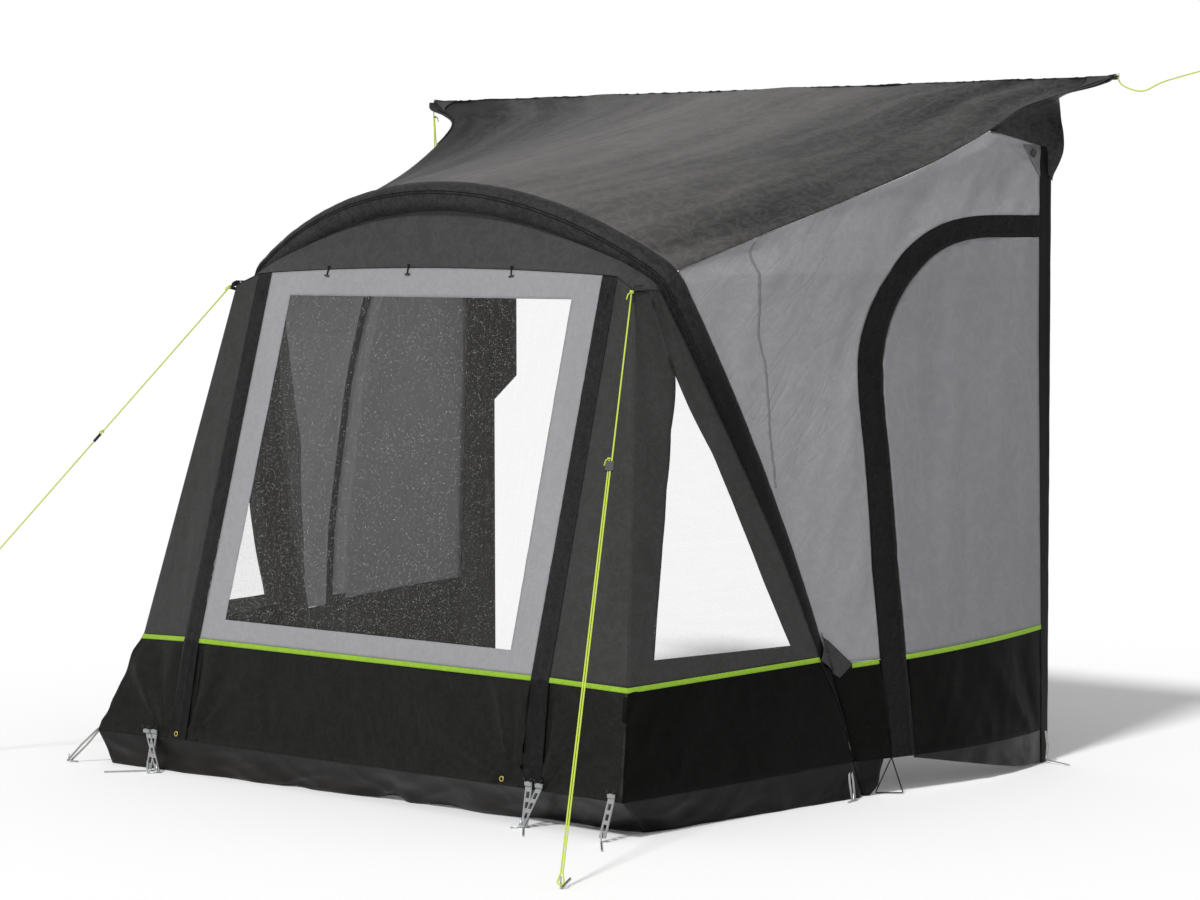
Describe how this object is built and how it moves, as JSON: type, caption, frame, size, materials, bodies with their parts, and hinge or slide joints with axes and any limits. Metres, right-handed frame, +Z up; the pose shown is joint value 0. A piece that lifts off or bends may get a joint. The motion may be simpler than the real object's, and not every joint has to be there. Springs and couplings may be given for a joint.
{
  "type": "caravan awning",
  "caption": "Inflatable caravan porch awning: arched air beam, roof on a rail bead, sloped front with unzipping window panel, glazed bays, zipped side doors and mud flap.",
  "frame": {"origin": "on the ground, below the middle of the awning's box without its guy lines and rail cords", "axes": "+X along the caravan to the awning's right as seen from outside, +Y towards the caravan, +Z up"},
  "size_m": [3.901, 2.8649, 2.4126],
  "materials": {
    "roof_cloth": "coated polyester, dark grey, matt",
    "sleeve_cloth": "coated polyester, near black, matt",
    "bladder_film": "translucent polyurethane film",
    "dark_cloth": "coated polyester, charcoal, matt",
    "grey_cloth": "coated polyester, mid grey, matt",
    "clear_film": "clear soft film, glossy",
    "green_binding": "lime green woven binding",
    "skirt_cloth": "coated polyester, black, matt",
    "flap_pvc": "black coated sheet, glossy",
    "pad_cloth": "foam pad in black cloth",
    "bead_pvc": "grey welded bead",
    "valve_plastic": "moulded, black",
    "zip_metal": "black lacquered die casting",
    "ladder_rubber": "light grey rubber",
    "peg_steel": "bright zinc plated",
    "line_cord": "lime braided polyester",
    "runner_plastic": "moulded, black"
  },
  "bodies": {
    "awning": {"roof_sheet": "roof_cloth", "rail_bead": "bead_pvc", "valance": "roof_cloth", "beam_sleeve": "sleeve_cloth", "air_beam": "bladder_film", "inflation_valve": "valve_plastic", "mud_flap": "flap_pvc", "zip_band_right": "sleeve_cloth", "zip_band_left": "sleeve_cloth", "wing_right": "dark_cloth", "wing_left": "dark_cloth", "bay_right": "dark_cloth", "bay_left": "dark_cloth", "bay_pane_right": "clear_film", "bay_pane_left": "clear_film", "stripe_corner_right": "green_binding", "stripe_corner_left": "green_binding", "skirt_corner_right": "skirt_cloth", "skirt_corner_left": "skirt_cloth", "wall_right": "grey_cloth", "wall_left": "grey_cloth", "door_band_right": "sleeve_cloth", "door_band_left": "sleeve_cloth", "skirt_wall_right": "skirt_cloth", "skirt_wall_left": "skirt_cloth", "rear_gusset_right": "roof_cloth", "rear_gusset_left": "roof_cloth", "rear_pad_right": "pad_cloth", "rear_pad_left": "pad_cloth", "ladder_left": "ladder_rubber", "ladder_middle": "ladder_rubber", "ladder_right": "ladder_rubber", "peg_left": "peg_steel", "peg_middle": "peg_steel", "peg_right": "peg_steel", "guy_tab_right": "sleeve_cloth", "guy_tab_left": "sleeve_cloth", "guy_line_right": "line_cord", "guy_line_left": "line_cord", "guy_peg_right": "peg_steel", "guy_peg_left": "peg_steel", "rail_cord_right": "line_cord", "rail_cord_left": "line_cord"},
    "front_panel": {"window_border": "grey_cloth", "window_pane": "clear_film", "stripe_front": "green_binding", "skirt_front": "skirt_cloth"},
    "right_door": {"door_right": "grey_cloth", "door_stripe_right": "green_binding", "door_skirt_right": "skirt_cloth", "door_flap_right": "flap_pvc"},
    "left_door": {"door_left": "grey_cloth", "door_stripe_left": "green_binding", "door_skirt_left": "skirt_cloth", "door_flap_left": "flap_pvc"},
    "right_zip_slider": {"zip_slider_right": "zip_metal"},
    "left_zip_slider": {"zip_slider_left": "zip_metal"},
    "cap": {"valve_cap": "valve_plastic"},
    "right_runner": {"guy_runner_right": "runner_plastic"},
    "left_runner": {"guy_runner_left": "runner_plastic"}
  },
  "joints": [
    {"name": "front_panel_fold", "type": "hinge", "parent": "awning", "child": "front_panel", "pos_m": [0, -0.9897, 0.1206], "axis": [1, 0, 0], "range_deg": [0, 106]},
    {"name": "right_door_swing", "type": "hinge", "parent": "awning", "child": "right_door", "pos_m": [1.356, 1.11, 0], "axis": [0, 0, 1], "range_deg": [0, 85]},
    {"name": "left_door_swing", "type": "hinge", "parent": "awning", "child": "left_door", "pos_m": [-1.356, 1.11, 0], "axis": [0, 0, -1], "range_deg": [0, 85]},
    {"name": "right_zip_slide", "type": "slide", "parent": "awning", "child": "right_zip_slider", "axis": [0, -0.2712, -0.9625], "range_m": [0, 1.15]},
    {"name": "left_zip_slide", "type": "slide", "parent": "awning", "child": "left_zip_slider", "axis": [0, -0.2712, -0.9625], "range_m": [0, 1.15]},
    {"name": "cap_turn", "type": "hinge", "parent": "awning", "child": "cap", "pos_m": [1.1685, 0.0143, 0.2976], "axis": [-0.9988, 0.0151, -0.0467], "range_deg": [0, 90]},
    {"name": "right_runner_slide", "type": "slide", "parent": "awning", "child": "right_runner", "axis": [0.3044, -0.5136, -0.8022], "range_m": [0, 0.3]},
    {"name": "left_runner_slide", "type": "slide", "parent": "awning", "child": "left_runner", "axis": [-0.4604, -0.4761, -0.7492], "range_m": [0, 0.3]}
  ]
}
